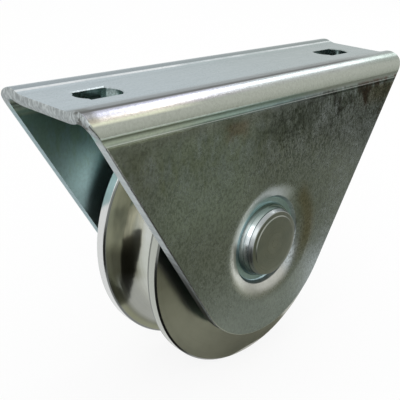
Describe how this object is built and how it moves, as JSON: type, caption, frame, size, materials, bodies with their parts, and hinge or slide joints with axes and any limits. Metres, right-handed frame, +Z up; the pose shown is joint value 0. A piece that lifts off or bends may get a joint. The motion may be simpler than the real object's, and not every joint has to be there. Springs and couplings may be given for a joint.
{
  "type": "grooved gate wheel with bracket",
  "caption": "Steel wheel with a round rail groove, turning on a ball bearing in a folded sheet-steel bracket with slotted fixing holes; carries a sliding gate along a rail.",
  "frame": {"origin": "middle of the bracket's web, on its top face, midway between the two fixing slots", "axes": "+X along the web, +Y along the axle towards the rear wall, +Z up out of the web"},
  "size_m": [0.129, 0.0406, 0.0891],
  "materials": {
    "zinc_plated_sheet": "satin",
    "turned_steel": "polished",
    "riveted_steel": "satin",
    "washer_steel": "satin",
    "plain_steel": "satin",
    "spring_steel": "satin",
    "bearing_steel": "polished",
    "shield_steel": "satin",
    "cage_steel": "satin",
    "ball_steel": "polished"
  },
  "bodies": {
    "bracket_unit": {"bracket": "zinc_plated_sheet", "axle_pin": "riveted_steel", "front_washer": "washer_steel", "rear_washer": "washer_steel", "front_spacer": "plain_steel", "rear_spacer": "plain_steel", "inner_ring": "bearing_steel"},
    "wheel_unit": {"grooved_wheel": "turned_steel", "retaining_ring": "spring_steel", "outer_ring": "bearing_steel", "front_shield": "shield_steel", "rear_shield": "shield_steel"},
    "ball_cage": {"front_cage_half": "cage_steel", "rear_cage_half": "cage_steel", "cage_rivets": "cage_steel"},
    "ball_1": {"ball_1": "ball_steel"},
    "ball_2": {"ball_2": "ball_steel"},
    "ball_3": {"ball_3": "ball_steel"},
    "ball_4": {"ball_4": "ball_steel"},
    "ball_5": {"ball_5": "ball_steel"},
    "ball_6": {"ball_6": "ball_steel"},
    "ball_7": {"ball_7": "ball_steel"},
    "ball_8": {"ball_8": "ball_steel"}
  },
  "joints": [
    {"name": "wheel_spin", "type": "hinge", "parent": "bracket_unit", "child": "wheel_unit", "pos_m": [0, 0, -0.0482], "axis": [0, 1, 0], "continuous": true},
    {"name": "cage_orbit", "type": "hinge", "parent": "bracket_unit", "child": "ball_cage", "pos_m": [0, 0, -0.0482], "axis": [0, 1, 0], "continuous": true},
    {"name": "ball_1_roll", "type": "hinge", "parent": "ball_cage", "child": "ball_1", "pos_m": [0.0125, 0, -0.0482], "axis": [0, 1, 0], "continuous": true},
    {"name": "ball_2_roll", "type": "hinge", "parent": "ball_cage", "child": "ball_2", "pos_m": [0.00884, 0, -0.05704], "axis": [0, 1, 0], "continuous": true},
    {"name": "ball_3_roll", "type": "hinge", "parent": "ball_cage", "child": "ball_3", "pos_m": [0, 0, -0.0607], "axis": [0, 1, 0], "continuous": true},
    {"name": "ball_4_roll", "type": "hinge", "parent": "ball_cage", "child": "ball_4", "pos_m": [-0.00884, 0, -0.05704], "axis": [0, 1, 0], "continuous": true},
    {"name": "ball_5_roll", "type": "hinge", "parent": "ball_cage", "child": "ball_5", "pos_m": [-0.0125, 0, -0.0482], "axis": [0, 1, 0], "continuous": true},
    {"name": "ball_6_roll", "type": "hinge", "parent": "ball_cage", "child": "ball_6", "pos_m": [-0.00884, 0, -0.03936], "axis": [0, 1, 0], "continuous": true},
    {"name": "ball_7_roll", "type": "hinge", "parent": "ball_cage", "child": "ball_7", "pos_m": [0, 0, -0.0357], "axis": [0, 1, 0], "continuous": true},
    {"name": "ball_8_roll", "type": "hinge", "parent": "ball_cage", "child": "ball_8", "pos_m": [0.00884, 0, -0.03936], "axis": [0, 1, 0], "continuous": true}
  ],
  "couplings": [
    {"joint": "cage_orbit", "follows": "wheel_spin", "ratio": 0.619},
    {"joint": "ball_1_roll", "follows": "wheel_spin", "ratio": 1.9818},
    {"joint": "ball_2_roll", "follows": "wheel_spin", "ratio": 1.9818},
    {"joint": "ball_3_roll", "follows": "wheel_spin", "ratio": 1.9818},
    {"joint": "ball_4_roll", "follows": "wheel_spin", "ratio": 1.9818},
    {"joint": "ball_5_roll", "follows": "wheel_spin", "ratio": 1.9818},
    {"joint": "ball_6_roll", "follows": "wheel_spin", "ratio": 1.9818},
    {"joint": "ball_7_roll", "follows": "wheel_spin", "ratio": 1.9818},
    {"joint": "ball_8_roll", "follows": "wheel_spin", "ratio": 1.9818}
  ]
}
